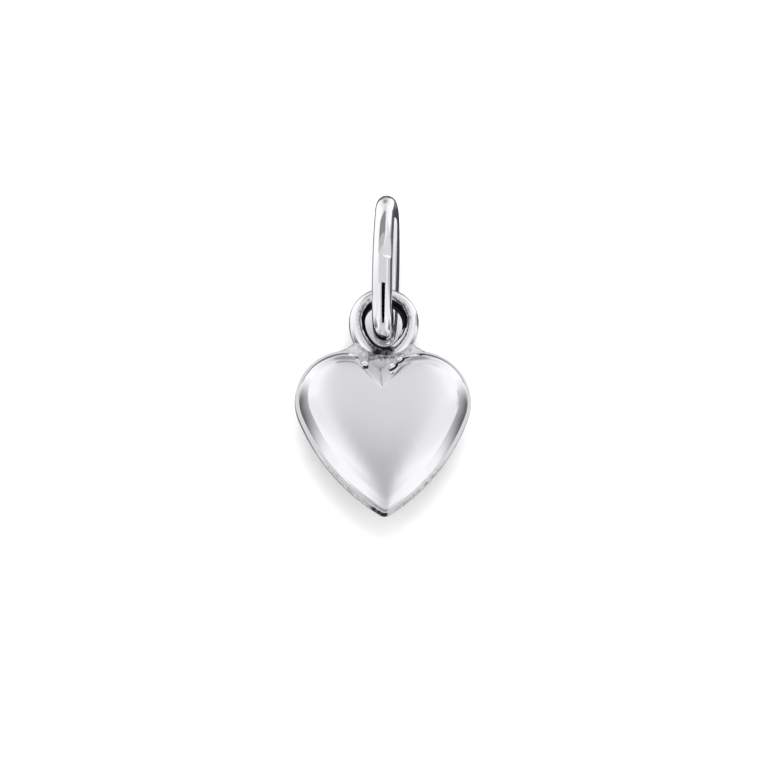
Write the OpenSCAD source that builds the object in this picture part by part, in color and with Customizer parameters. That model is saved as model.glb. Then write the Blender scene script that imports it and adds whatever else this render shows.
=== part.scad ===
// Heart pendant: a hollow puffed heart hung from a long oval bail.
// Millimetres, +Z up, front toward -Y. The origin is where a chain bears inside the top of the bail.

/* [Heart] */
// Height from the tops of the lobes to the tip
heart_h = 11.5; // [11:0.1:12.6]
// Distance from the middle line to the centre of each lobe
lobe_offset = 2.45; // [2.3:0.05:2.6]
// Radius of each lobe over the rim
lobe_r = 3.53; // [3.3:0.01:3.7]
// Radius of the long side curves over the rim
side_r = 13.9; // [12:0.1:16]
// Radius of the blunt tip over the rim
tip_r = 0.6; // [0.5:0.05:1]
// Thickness over both domes
puff = 4.6; // [3.6:0.1:5.4]
// Fullness of the domes, from an even lens at 1 to a flat-topped pillow at 2
fullness = 1.2; // [1:0.1:2]
// Width of the flat rim round the domes
rim_w = 0.25; // [0.15:0.05:0.35]
// Thickness of the rim, where the two stamped halves meet
rim_t = 0.6; // [0.4:0.05:0.8]
// Thickness of the stamped metal
wall = 0.38; // [0.3:0.02:0.5]
// Angle by which the heart is turned on its ring
heart_roll = 1; // [0:0.5:2]
// Step along the rim of the heart
outline_step = 0.42; // [0.35:0.01:0.8]

/* [Ring] */
// Outer width of the ring
ring_w = 4.74; // [4.6:0.02:5]
// Thickness of the ring's wire, seen from the front
ring_wire = 1.09; // [1:0.01:1.15]
// Depth of the ring's wire, from front to back
ring_deep = 1.5; // [1.3:0.1:1.7]
// Height of the ring's lower half, down to the middle of its wire
ring_drop = 2.3; // [2.2:0.05:2.4]
// Radius of the ring's lower end, at the middle of its wire
ring_end_r = 1.45; // [1.3:0.05:1.6]

/* [Solder] */
// Half of the length of the solder, from the ring out along the lobes
solder_reach = 3; // [2.6:0.1:3.2]
// Depth of the solder under the ring, from front to back
solder_deep = 1.9; // [1.6:0.1:2.1]

/* [Bail] */
// Outer height of the bail
bail_h = 10.52; // [10:0.02:11]
// Outer depth of the bail, from front to back
bail_deep = 5; // [4.8:0.1:5.4]
// Thickness of the bail's round wire
bail_wire = 1.36; // [1.2:0.02:1.4]
// Radius of the bail's two ends, at the middle of its wire
bail_end_r = 1.35; // [1.25:0.05:1.5]
// Angle by which the bail's loop is turned about its height
bail_turn = 11.5; // [0:0.5:14]
// Angle by which the bail leans to one side
bail_lean = 1.4; // [0:0.1:2.5]
// Depth of the flat on the front arm of the bail
flat_depth = 0.1; // [0.05:0.01:0.15]

/* [Hidden] */

silver = "#d9dade";
wire_fn = 48;
loop_fn = 96;

// Places along the height of the pendant
bail_mid_z = bail_wire / 2 - (bail_h - bail_wire) / 2;
ring_z = -7.66;
lobe_z = -13.25;
// The ring and the heart hang a little to the left of the top of the bail
ring_x = -0.24;
heart_x = -0.3;

// Half of the heart's outline: a lobe arc, a long side arc and a tip arc, each tangent to the next.
// The centre of the long side arc lies across the middle line, at (-side_cx, side_cz).
tip_z = heart_h - lobe_r - tip_r;
side_k = (pow(side_r - lobe_r, 2) - pow(side_r - tip_r, 2) - pow(lobe_offset, 2) + pow(tip_z, 2))
    / (2 * lobe_offset);
side_m = tip_z / lobe_offset;
side_b = side_k * side_m + tip_z;
side_c = pow(side_k, 2) + pow(tip_z, 2) - pow(side_r - tip_r, 2);
side_cz = (sqrt(pow(side_b, 2) - (1 + pow(side_m, 2)) * side_c) - side_b) / (1 + pow(side_m, 2));
side_cx = side_k + side_m * side_cz;
// Directions at which the lobe arc hands over to the side arc, and that to the tip arc
lobe_end = atan2(-side_cz, lobe_offset + side_cx);
side_end = atan2(-tip_z - side_cz, side_cx);

function lobe_start(inset) = acos(-lobe_offset / (lobe_r - inset));
function arc_steps(radius, sweep) = ceil(radius * abs(sweep) * PI / 180 / outline_step);
lobe_steps = arc_steps(lobe_r, lobe_start(0) - lobe_end);
side_steps = arc_steps(side_r, lobe_end - side_end);
tip_steps = 2;

function arc_points(cx, cz, r, from, to, steps, first) = [
    for (i = [first : steps])
        let (angle = from + (to - from) * i / steps)
        [cx + r * cos(angle), cz + r * sin(angle)]
];

// Right half of the outline moved in by inset, from the cleft down to the tip
function half_outline(inset) = concat(
    arc_points(lobe_offset, 0, lobe_r - inset, lobe_start(inset), lobe_end, lobe_steps, 0),
    arc_points(-side_cx, side_cz, side_r - inset, lobe_end, side_end, side_steps, 1),
    arc_points(0, -tip_z, tip_r - inset, side_end, -90, tip_steps, 1)
);

// Whole outline, clockwise from the cleft, seen from the front
function outline(inset) =
    let (half = half_outline(inset), last = len(half) - 1)
    concat(half, [for (i = [last - 1 : -1 : 1]) [-half[i].x, half[i].y]]);

// Room around a point inside a closed outline: near the edge it is the distance to it, and further
// in it grows evenly
function total(list) = list * [for (item = list) 1];
function room(p, edge) =
    2 / abs(total([
        for (i = [0 : len(edge) - 1])
            let (a = edge[i] - p, b = edge[(i + 1) % len(edge)] - p, na = norm(a), nb = norm(b))
            (1 / na + 1 / nb) * cross(a, b) / (na * nb + a * b)
    ]));

// Domes. Each ring of a dome is the foot drawn in toward the middle by a part s.
foot = outline(rim_w);
heart_mid = [0, -1.5];
dome_h = (puff - rim_t) / 2;
most_room = room(heart_mid, foot);
function dome(p) =
    let (t = min(1, room(p, foot) / most_room))
    dome_h * sqrt(1 - pow(1 - t, fullness));

// Crease pressed into each dome under the cleft, a little left of the middle: its floor drops toward
// the cleft and its sides rise
cleft_z = sqrt(pow(lobe_r - rim_w, 2) - pow(lobe_offset, 2));
crease_x = -0.18;
crease_top = 0.2;
crease_fall = 0.95;
crease_side = 0.85;
function crease(p) = crease_top + crease_fall * (cleft_z - p.y) + crease_side * abs(p.x - crease_x);

function at_height(points, lift) = [for (p = points) [p.x, -lift, p.y]];
function drawn_in(s) = [for (p = foot) p + (heart_mid - p) * s];
function dome_ring(s) = [
    for (p = drawn_in(s))
        [p.x, -rim_t / 2 - min(dome(p), crease(p)), p.y]
];
function to_back(rings) = [for (i = [len(rings) - 1 : -1 : 0]) [for (p = rings[i]) [p.x, -p.y, p.z]]];
function turned(rings) = [for (i = [len(rings) - 1 : -1 : 0]) rings[i]];

// Rings are closest together where the dome is steepest
dome_steps = [0.008, 0.03, 0.07, 0.13, 0.21, 0.31, 0.43, 0.57, 0.72, 0.87];
hollow_steps = [0.03, 0.13, 0.28, 0.45, 0.65, 0.85];
function domes(steps) = concat([at_height(foot, rim_t / 2)], [for (s = steps) dome_ring(s)]);

// Closed skin over stacked rings: each ring joins the next, and a middle point closes each end
module stacked(rings, first_mid, last_mid) {
    n = len(rings[0]);
    m = len(rings);
    points = concat([for (ring = rings) each ring], [first_mid, last_mid]);
    bands = [
        for (k = [0 : m - 2])
            for (i = [0 : n - 1])
                let (j = (i + 1) % n, a = k * n, b = a + n)
                each [[a + i, b + j, a + j], [a + i, b + i, b + j]]
    ];
    first_cap = [for (i = [0 : n - 1]) [m * n, i, (i + 1) % n]];
    last_base = (m - 1) * n;
    last_cap = [for (i = [0 : n - 1]) [m * n + 1, last_base + (i + 1) % n, last_base + i]];
    polyhedron(points = points, faces = concat(bands, first_cap, last_cap), convexity = 6);
}

module in_heart_place() {
    translate([heart_x, 0, lobe_z])
        rotate([0, -heart_roll, 0])
            children();
}

// Both domes back to back, with or without the rim between them
module double_dome(rings) {
    front = turned(rings);
    top = rim_t / 2 + dome_h;
    stacked(
        concat(front, to_back(front)),
        [heart_mid.x, -top, heart_mid.y],
        [heart_mid.x, top, heart_mid.y]
    );
}

module puffed_heart() {
    double_dome(concat([at_height(outline(0), rim_t / 2)], domes(dome_steps)));
}

// Hollow inside the two stamped halves
module heart_hollow() {
    side = 1 - wall / (lobe_offset + lobe_r - rim_w);
    deep = 1 - 2 * wall / puff;
    translate([heart_mid.x, 0, heart_mid.y])
        scale([side, deep, side])
            translate([-heart_mid.x, 0, -heart_mid.y])
                double_dome(domes(hollow_steps));
}

// Arc of wire about a centre; the section is drawn as children in the wire's own plane
module wire_arc(cx, cy, r, from, to) {
    translate([cx, cy, 0])
        rotate([0, 0, from])
            rotate_extrude(angle = to - from, $fn = loop_fn)
                translate([r, 0])
                    children();
}

// The arcs of a loop meet where one laps a little way into the next, a hair thinner
lap = 0.08;
lap_thin = 0.02;
function lap_angle(r) = lap / r * 180 / PI;

// Oval loop of round wire, of four tangent arcs, with its long axis along Y
module oval_loop(half_h, half_w, end_r, wire) {
    long_r = (pow(half_w, 2) + pow(half_h, 2) - 2 * half_h * end_r) / (2 * (half_w - end_r));
    meet = atan2(half_h - end_r, long_r - half_w);
    over = lap_angle(end_r);
    for (side = [0, 1])
        mirror([side, 0, 0])
            wire_arc(half_w - long_r, 0, long_r, -meet, meet)
                circle(d = wire, $fn = wire_fn);
    for (side = [0, 1])
        mirror([0, side, 0])
            wire_arc(0, half_h - end_r, end_r, meet - over, 180 - meet + over)
                circle(d = wire - lap_thin, $fn = wire_fn);
}

// Ring with a round upper half and a narrower, longer lower half
module egg_loop(half_w, drop, end_r) {
    long_r = (pow(half_w, 2) + pow(drop, 2) - 2 * drop * end_r) / (2 * (half_w - end_r));
    meet = atan2(drop - end_r, long_r - half_w);
    over = lap_angle(end_r);
    wire_arc(0, 0, half_w, 0, 180)
        ring_section(ring_wire);
    for (side = [0, 1])
        mirror([side, 0, 0])
            mirror([0, 1, 0])
                wire_arc(half_w - long_r, 0, long_r, 0, meet)
                    ring_section(ring_wire);
    wire_arc(0, end_r - drop, end_r, 180 + meet - over, 360 - meet + over)
        ring_section(ring_wire - lap_thin);
}

// Section of the ring's wire: rounded front and back with a short straight between
module ring_section(wire) {
    straight = ring_deep - ring_wire;
    for (side = [-1, 1])
        translate([0, side * straight / 2])
            circle(d = wire, $fn = wire_fn);
    square([wire, straight], center = true);
}

module jump_ring() {
    translate([ring_x, 0, ring_z])
        rotate([90, 0, 0])
            egg_loop((ring_w - ring_wire) / 2, ring_drop, ring_end_r);
}

// Solder that fills the cleft under the ring. Each row is one section across it: distance from the
// middle as a part of its reach, top and bottom over the ring's centre, and part of its full depth
solder_rows = [
    [0, -2.15, -3.54, 1],
    [0.18, -2.13, -3.58, 1],
    [0.36, -1.94, -3.44, 0.96],
    [0.52, -1.58, -3.18, 0.86],
    [0.64, -1.38, -2.94, 0.72],
    [0.74, -1.66, -2.74, 0.58],
    [0.86, -1.9, -2.54, 0.46],
    [1, -2.06, -2.38, 0.32],
];
solder_sides = 12;
function solder_ring(row, side) = [
    for (i = [0 : solder_sides - 1])
        let (angle = 360 * i / solder_sides + 180 / solder_sides)
        [
            side * row[0] * solder_reach,
            row[3] * solder_deep / 2 * cos(angle),
            (row[1] + row[2]) / 2 + (row[1] - row[2]) / 2 * sin(angle)
        ]
];
module solder() {
    last = len(solder_rows) - 1;
    rings = concat(
        [for (i = [last : -1 : 1]) solder_ring(solder_rows[i], -1)],
        [for (i = [0 : last]) solder_ring(solder_rows[i], 1)]
    );
    end_z = (solder_rows[last][1] + solder_rows[last][2]) / 2;
    translate([ring_x, 0, ring_z])
        stacked(rings, [-solder_reach, 0, end_z], [solder_reach, 0, end_z]);
}

module heart_with_ring() {
    color(silver)
        difference() {
            union() {
                in_heart_place() puffed_heart();
                solder();
                jump_ring();
            }
            in_heart_place() heart_hollow();
        }
}

// Flat on the right of the front arm, left plain
flat_side = 38;
flat_z = 2.95;
module arm_flat() {
    reach = 2 * bail_wire;
    translate([0, -(bail_deep - bail_wire) / 2, flat_z])
        rotate([0, 0, flat_side])
            translate([-reach / 2, -bail_wire / 2 - reach + flat_depth, -reach])
                cube([reach, reach, 2 * reach]);
}

module carrier_bail() {
    color(silver)
        rotate([0, bail_lean, 0])
            rotate([0, 0, -bail_turn])
                translate([0, 0, bail_mid_z])
                    difference() {
                        rotate([90, 0, 90])
                            oval_loop(
                                (bail_h - bail_wire) / 2, (bail_deep - bail_wire) / 2,
                                bail_end_r, bail_wire
                            );
                        arm_flat();
                    }
}

carrier_bail();
heart_with_ring();
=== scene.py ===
"""Heart pendant: fine surfaces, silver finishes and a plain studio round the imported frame.

Sizes are in metres, but curves and surfaces are worked in millimetres. The pendant hangs from the
origin, its front faces -Y and +X is to the right.
"""

import math

import bmesh
import bpy
import numpy as np
from bpy.props import FloatProperty, FloatVectorProperty, IntProperty, PointerProperty
from mathutils import Matrix, Vector, noise


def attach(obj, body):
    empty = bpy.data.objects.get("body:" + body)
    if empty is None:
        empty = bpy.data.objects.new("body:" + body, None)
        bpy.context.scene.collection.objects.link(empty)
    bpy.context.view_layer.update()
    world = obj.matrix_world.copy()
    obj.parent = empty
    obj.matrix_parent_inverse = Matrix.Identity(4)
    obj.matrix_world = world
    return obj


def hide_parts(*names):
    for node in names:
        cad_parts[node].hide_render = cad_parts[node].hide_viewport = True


bl_info = {
    "name": "Heart Pendant",
    "version": (1, 0, 0),
    "blender": (4, 5, 0),
    "location": "3D View > Sidebar > Pendant",
    "description": "Puffed silver heart with a soldered ring, hung on an oval bail",
    "category": "Add Mesh",
}

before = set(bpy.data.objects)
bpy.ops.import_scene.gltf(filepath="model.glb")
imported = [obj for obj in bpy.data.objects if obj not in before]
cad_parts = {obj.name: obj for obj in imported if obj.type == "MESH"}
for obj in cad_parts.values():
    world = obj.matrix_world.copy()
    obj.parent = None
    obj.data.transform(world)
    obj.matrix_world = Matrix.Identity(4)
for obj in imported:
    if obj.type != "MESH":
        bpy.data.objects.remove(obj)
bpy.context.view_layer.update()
MM = 0.001
FLOAT = "NodeSocketFloat"
COLOR = "NodeSocketColor"


# Kinds of setting


def length(name, description, millimetres, low=0.0, high=30.0):
    """A length, given in millimetres."""
    return FloatProperty(
        name=name, description=description, default=millimetres * MM,
        min=low * MM, max=high * MM, unit="LENGTH", precision=5,
    )


def point(name, description, millimetres):
    """A place, given in millimetres."""
    return FloatVectorProperty(
        name=name, description=description, default=tuple(value * MM for value in millimetres),
        size=3, subtype="TRANSLATION", unit="LENGTH", precision=5,
    )


def angle(name, description, degrees):
    """An angle, given in degrees."""
    return FloatProperty(name=name, description=description, default=math.radians(degrees), subtype="ANGLE")


def number(name, description, value, low, high):
    return FloatProperty(name=name, description=description, default=value, min=low, max=high)


def softness(name, description, value):
    """A roughness, from a mirror at 0 to matte at 1."""
    return FloatProperty(
        name=name, description=description, default=value, min=0.0, max=1.0, subtype="FACTOR"
    )


def color(name, description, value):
    return FloatVectorProperty(
        name=name, description=description, default=value, size=3, min=0.0, max=1.0, subtype="COLOR"
    )


# Settings


class HeartSettings(bpy.types.PropertyGroup):
    height: length("Height", "From the tops of the lobes to the tip", 11.5)
    lobe_offset: length("Lobe offset", "From the middle line to the centre of a lobe", 2.45)
    lobe_radius: length("Lobe radius", "Radius of each lobe over the rim", 3.53)
    side_radius: length("Side radius", "Radius of the long side curves over the rim", 13.9)
    tip_radius: length("Tip radius", "Radius of the blunt tip over the rim", 0.6)
    puff: length("Puff", "Thickness over both domes", 4.6)
    fullness: number("Fullness", "From an even lens at 1 to a flat-topped pillow at 2", 1.2, 1.0, 2.0)
    dome_drop: length("Domes' middle", "From the lobes' centres down to the middle of a dome", 1.5)
    rim_width: length("Rim width", "Width of the flat rim round the domes", 0.2)
    rim_thickness: length("Rim thickness", "Thickness where the two halves meet", 0.6)
    rim_edge: length("Rim edge", "Rounding of the rim's edges", 0.05)
    seam_width: length("Seam width", "Width of the groove where the two halves meet", 0.06)
    seam_depth: length("Seam depth", "Depth of the groove where the two halves meet", 0.025)
    facet_x: length("Facets' middle", "Sideways place of the crease between the facets", -0.18, -2.0, 2.0)
    facet_top: length("Facets' top", "Height of the facets over the rim at the cleft", 0.2)
    facet_fall: number("Facets' fall", "Rise of the facets for each length down", 0.95, 0.0, 3.0)
    facet_side: number("Facets' spread", "Rise of the facets for each length to the side", 0.85, 0.0, 3.0)
    facet_edge: length("Facets' edge", "Rounding where the facets meet the dome", 0.05, 0.01)
    streaks: length("Streaks", "Height of the faint ridges that the die left", 0.0012, 0.0, 0.1)
    middle_x: length("Middle", "Sideways place of the middle line", -0.3, -5.0, 5.0)
    lobes_z: length("Lobes", "Height of the line through the lobes' centres", -13.25, -20.0, 0.0)
    roll: angle("Roll", "Angle by which the heart is turned on its ring", 1)
    points: IntProperty(
        name="Points", description="Points along each half of the outline", default=132, min=40, max=300
    )
    rings: IntProperty(
        name="Rings", description="Rings from the foot of a dome to its middle", default=58, min=12, max=120
    )


class RingSettings(bpy.types.PropertyGroup):
    width: length("Width", "Outer width of the ring", 4.74)
    wire: length("Wire", "Thickness of the wire, seen from the front", 1.09)
    depth: length("Depth", "Depth of the wire, from front to back", 1.5)
    drop: length("Drop", "Height of the lower half, to the middle of the wire", 2.3)
    end_radius: length("End radius", "Radius of the lower end, at the middle of the wire", 1.45)
    middle_x: length("Middle", "Sideways place of the ring", -0.24, -5.0, 5.0)
    middle_z: length("Height", "Height of the centre of the ring's upper half", -7.66, -20.0, 0.0)


class BailSettings(bpy.types.PropertyGroup):
    height: length("Height", "Outer height of the bail", 10.52)
    depth: length("Depth", "Outer depth of the bail, from front to back", 5.0)
    wire: length("Wire", "Thickness of the bail's round wire", 1.36)
    end_radius: length("End radius", "Radius of the two ends, at the middle of the wire", 1.35)
    turn: angle("Turn", "Angle by which the loop is turned about its height", 11.5)
    lean: angle("Lean", "Angle by which the bail leans to one side", 1.4)
    flat_depth: length("Flat depth", "Depth of the flat on the front arm", 0.1)
    flat_side: angle("Flat side", "Direction of the flat, round the arm from its front", 38)
    flat_low: length("Flat end", "Height of the flat's lower end", -3.68, -20.0, 0.0)
    flat_ramp: length("Flat ramp", "Length over which the flat's lower end runs out", 0.12, 0.01)


class SolderSettings(bpy.types.PropertyGroup):
    reach: length("Reach", "From the ring out along the lobes", 3.0)
    depth: length("Depth", "Depth under the ring, from front to back", 1.9)
    grain: length("Grain", "Size of the cells in which the solder is fused", 0.035, 0.02, 0.2)
    lumps: length("Lumps", "Height of the lumps left by the flow", 0.035)


class SilverSettings(bpy.types.PropertyGroup):
    silver: color("Silver", "Colour of the polished silver", (0.913, 0.913, 0.942))
    solder: color("Solder", "Colour of the unpolished solder", (0.76, 0.76, 0.785))
    bead: color("Beads", "Colour of the polished beads of solder", (1.0, 1.0, 1.0))
    matte_roughness: softness("Matte roughness", "Softness of the shine where no cloth reaches", 0.5)
    rim_roughness: softness("Rim roughness", "Softness of the shine on the heart's flanks and rim", 0.08)
    wire_roughness: softness("Wire roughness", "Softness of the drawn wire's shine", 0.08)
    ring_roughness: softness("Ring roughness", "Softness of the worn ring's shine", 0.14)
    solder_roughness: softness("Solder roughness", "Softness of the solder's shine", 0.3)
    bead_roughness: softness("Bead roughness", "Softness of the shine of the solder's beads", 0.12)


class StudioSettings(bpy.types.PropertyGroup):
    azimuth: angle("Azimuth", "Direction of the camera round the pendant", -4)
    elevation: angle("Elevation", "Angle of the camera, below the pendant when negative", -16)
    lens: number("Lens", "Focal length in millimetres, long for parallel sides", 300.0, 20.0, 600.0)
    distance: length("Distance", "From the camera to the middle of the picture", 432.0, 10.0, 2000.0)
    aim: point("Aim", "Point at the middle of the picture", (-0.36, 0.0, -11.83))
    floor_z: length("Floor", "Height of the floor", -180.0, -500.0, 0.0)
    wall_y: length("Backdrop", "Distance of the backdrop behind the pendant", 2.7)
    floor_color: color("Floor color", "Colour of the floor", (0.86, 0.86, 0.86))
    wall_color: color("Backdrop color", "Colour of the backdrop", (0.95, 0.95, 0.95))
    view_color: color("View color", "Colour that the camera sees beyond the floor", (0.99, 0.99, 0.99))
    even_light: number("Even light", "Strength of the room's even light on dull surfaces", 1.22, 0.0, 5.0)
    lamp_place: point("Lamp", "Place of the soft box", (0.0, -220.0, 160.0))
    lamp_aim: point("Lamp aim", "Point that the soft box faces", (0.0, 0.0, -12.0))
    lamp_size: length("Lamp size", "Width of the round soft box", 250.0, 1.0, 2000.0)
    lamp_power: FloatProperty(
        name="Lamp power", description="Power of the soft box", default=0.49, min=0.0, max=50.0, unit="POWER"
    )


# Curves and surfaces, worked in millimetres


def spread(start, stop, count, first=0):
    """Even places from start to stop with count gaps between them, beginning with the one asked for."""
    return np.linspace(start, stop, count + 1)[first:]


def arc_points(cx, cz, radius, angles):
    return np.stack([cx + radius * np.cos(angles), cz + radius * np.sin(angles)], 1)


def clearance(points, edge):
    """Distance of each point inside a closed outline from its edge, evened out inward."""
    to_start = edge - points[:, None, :]
    to_end = np.roll(edge, -1, 0) - points[:, None, :]
    start_far = np.linalg.norm(to_start, axis=2)
    end_far = np.linalg.norm(to_end, axis=2)
    cross = to_start[..., 0] * to_end[..., 1] - to_start[..., 1] * to_end[..., 0]
    # Tangent of half the angle under which the point sees each stretch of the outline
    half_view = cross / (start_far * end_far + (to_start * to_end).sum(2))
    return 2 / np.abs(((1 / start_far + 1 / end_far) * half_view).sum(1))


def soft_least(a, b, blend):
    """The lesser of two heights, rounded where they cross."""
    return -blend * np.logaddexp(-a / blend, -b / blend)


def smooth_step(values, start, stop):
    """Goes smoothly from 0 to 1 as the values go from start to stop."""
    t = np.clip((values - start) / (stop - start), 0, 1)
    return t * t * (3 - 2 * t)


def turned_about_z(points, turn):
    c, s = math.cos(turn), math.sin(turn)
    x, y = points[..., 0], points[..., 1]
    return np.stack([c * x - s * y, s * x + c * y, points[..., 2]], -1)


def turned_about_y(points, turn):
    c, s = math.cos(turn), math.sin(turn)
    x, z = points[..., 0], points[..., 2]
    return np.stack([c * x + s * z, points[..., 1], c * z - s * x], -1)


def long_side(half_w, half_h, end):
    """Radius of an oval's long side arcs, and the angle at which they pass into the arcs of its ends."""
    radius = (half_w**2 + half_h**2 - 2 * half_h * end) / (2 * (half_w - end))
    return radius, math.atan2(half_h - end, radius - half_w)


def swept_loop(arcs, section):
    """Rings of (x, y, z) round a closed flat loop in the XZ plane.

    An arc is (cx, cz, radius, from, to, count), and a section point is (outward, toward the back).
    """
    path, normals = [], []
    for cx, cz, radius, start, stop, count in arcs:
        angles = spread(start, stop, count)[:-1]
        path.append(arc_points(cx, cz, radius, angles))
        normals.append(arc_points(0, 0, 1, angles))
    path, normals = np.concatenate(path), np.concatenate(normals)
    flat = path[:, None, :] + normals[:, None, :] * section[None, :, 0, None]
    back = np.broadcast_to(section[None, :, 1], flat.shape[:2])
    return np.stack([flat[..., 0], back, flat[..., 1]], -1)


class HeartForm:
    """The heart's outline and domes, in millimetres from the middle of the line through its lobes' centres.

    On each side the outline is a lobe arc, a long side arc and a tip arc, all tangent. A flat point is
    (across, up), and the heights of a dome are measured from the rim.
    """

    def __init__(self, heart):
        self.offset = heart.lobe_offset / MM
        self.lobe = heart.lobe_radius / MM
        self.side = heart.side_radius / MM
        self.tip = heart.tip_radius / MM
        self.count = heart.points
        self.lowest = self.lobe - heart.height / MM
        self.tip_z = self.lowest + self.tip
        self.side_x, self.side_z = self.side_centre()
        self.lobe_end = math.atan2(-self.side_z, self.offset - self.side_x)
        self.side_end = math.atan2(self.tip_z - self.side_z, -self.side_x)
        self.rim = heart.rim_thickness / MM / 2
        self.rim_width = heart.rim_width / MM
        self.foot = self.around(self.rim_width)
        self.middle = np.array([0.0, -heart.dome_drop / MM])
        self.top = heart.puff / MM / 2
        self.fullness = heart.fullness
        self.facet_x = heart.facet_x / MM
        self.facet_top = heart.facet_top / MM
        self.facet_fall = heart.facet_fall
        self.facet_side = heart.facet_side
        self.facet_edge = heart.facet_edge / MM
        self.roll = heart.roll
        self.place = np.array([heart.middle_x, 0, heart.lobes_z]) / MM

    def side_centre(self):
        """Centre of the long arc on the right side, which lies to the left of the middle line.

        Its circle holds the circles of the lobe and the tip and touches both, so the distances between
        their centres are differences of radii. The two conditions together leave
        -x = base + slope * z, and either one then gives z.
        """
        to_lobe = self.side - self.lobe
        to_tip = self.side - self.tip
        base = (to_lobe**2 - to_tip**2 - self.offset**2 + self.tip_z**2) / (2 * self.offset)
        slope = -self.tip_z / self.offset
        linear = base * slope - self.tip_z
        square = 1 + slope**2
        rest = base**2 + self.tip_z**2 - to_tip**2
        z = (math.sqrt(linear**2 - square * rest) - linear) / square
        return -(base + slope * z), z

    def around(self, inset):
        """Points of the outline at an inset: from the cleft, down the right side to the tip and back up."""
        lobe_start = math.acos(-self.offset / (self.lobe - inset))
        lobe_count = int(self.count * 0.5)
        tip_count = int(self.count * 0.07)
        side_count = self.count - lobe_count - tip_count
        arcs = (
            (self.offset, 0, self.lobe, spread(lobe_start, self.lobe_end, lobe_count)),
            (self.side_x, self.side_z, self.side, spread(self.lobe_end, self.side_end, side_count, 1)),
            (0, self.tip_z, self.tip, spread(self.side_end, -math.pi / 2, tip_count, 1)),
        )
        half = np.concatenate([arc_points(x, z, radius - inset, angles) for x, z, radius, angles in arcs])
        return np.concatenate([half, (half[1:-1] * [-1, 1])[::-1]])

    def part_in(self, points):
        """How far points are in from the foot of a dome: 0 at the foot and 1 at its middle."""
        most = clearance(self.middle[None, :], self.foot)[0]
        return np.clip(clearance(points, self.foot) / most, 0, 1)

    def plain_dome(self, part):
        return (self.top - self.rim) * np.sqrt(1 - (1 - part) ** self.fullness)

    def dome(self, points, part):
        """Height of a dome, with the two facets pressed in under the cleft."""
        plain = self.plain_dome(part)
        cleft_z = self.foot[0, 1]
        facets = (
            self.facet_top
            + self.facet_fall * (cleft_z - points[:, 1])
            + self.facet_side * np.abs(points[:, 0] - self.facet_x)
        )
        return np.minimum(plain, soft_least(plain, facets, self.facet_edge))

    def placed(self, points):
        """Points of (x, y, z) turned and moved to where the heart hangs."""
        return turned_about_y(points, -self.roll) + self.place


# Meshes


def band_faces(ring_count, ring_size, wrap):
    """Quads between rings of equal size, joined back to the first one when wrap is true."""
    faces = []
    for ring in range(ring_count if wrap else ring_count - 1):
        here = ring * ring_size
        there = (ring + 1) % ring_count * ring_size
        for i in range(ring_size):
            j = (i + 1) % ring_size
            faces.append((here + i, here + j, there + j, there + i))
    return faces


def mesh_points(mesh):
    places = np.empty(len(mesh.vertices) * 3)
    mesh.vertices.foreach_get("co", places)
    return places.reshape(-1, 3)


def signed_volume(mesh):
    """Volume of a closed mesh, below 0 when its faces look inward."""
    mesh.calc_loop_triangles()
    triangles = np.empty(len(mesh.loop_triangles) * 3, dtype=np.int32)
    mesh.loop_triangles.foreach_get("vertices", triangles)
    a, b, c = mesh_points(mesh)[triangles.reshape(-1, 3)].transpose(1, 0, 2)
    return float(np.einsum("ij,ij->i", a, np.cross(b, c)).sum() / 6)


def object_from(name, points, faces):
    """An object from points in millimetres, which its mesh keeps until finish_piece() makes them metres."""
    mesh = bpy.data.meshes.new(name)
    mesh.from_pydata(np.asarray(points).tolist(), [], faces)
    mesh.validate()
    if signed_volume(mesh) < 0:
        mesh.flip_normals()
    piece = bpy.data.objects.new(name, mesh)
    bpy.context.scene.collection.objects.link(piece)
    return piece


def loop_object(name, rings):
    """A closed loop of wire from its rings."""
    ring_count, ring_size = rings.shape[:2]
    return object_from(name, rings.reshape(-1, 3), band_faces(ring_count, ring_size, wrap=True))


def add_mask(piece, name, values):
    """Keeps a number from 0 to 1 for each point of a piece, which its material reads by name."""
    mask = piece.data.attributes.new(name, "FLOAT", "POINT")
    mask.data.foreach_set("value", np.asarray(values, dtype=np.float32).ravel())


def finish_piece(piece, material, body, node, sharp_degrees):
    """Brings a piece to metres, shades it smooth but for its creases, hangs it on its body and hides the CAD
    part that it takes the place of.
    """
    piece.data.transform(Matrix.Scale(MM, 4))
    piece.data.shade_smooth()
    piece.data.set_sharp_from_angle(angle=math.radians(sharp_degrees))
    piece.data.materials.append(material)
    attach(piece, body)
    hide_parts(node)


# Materials


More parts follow.
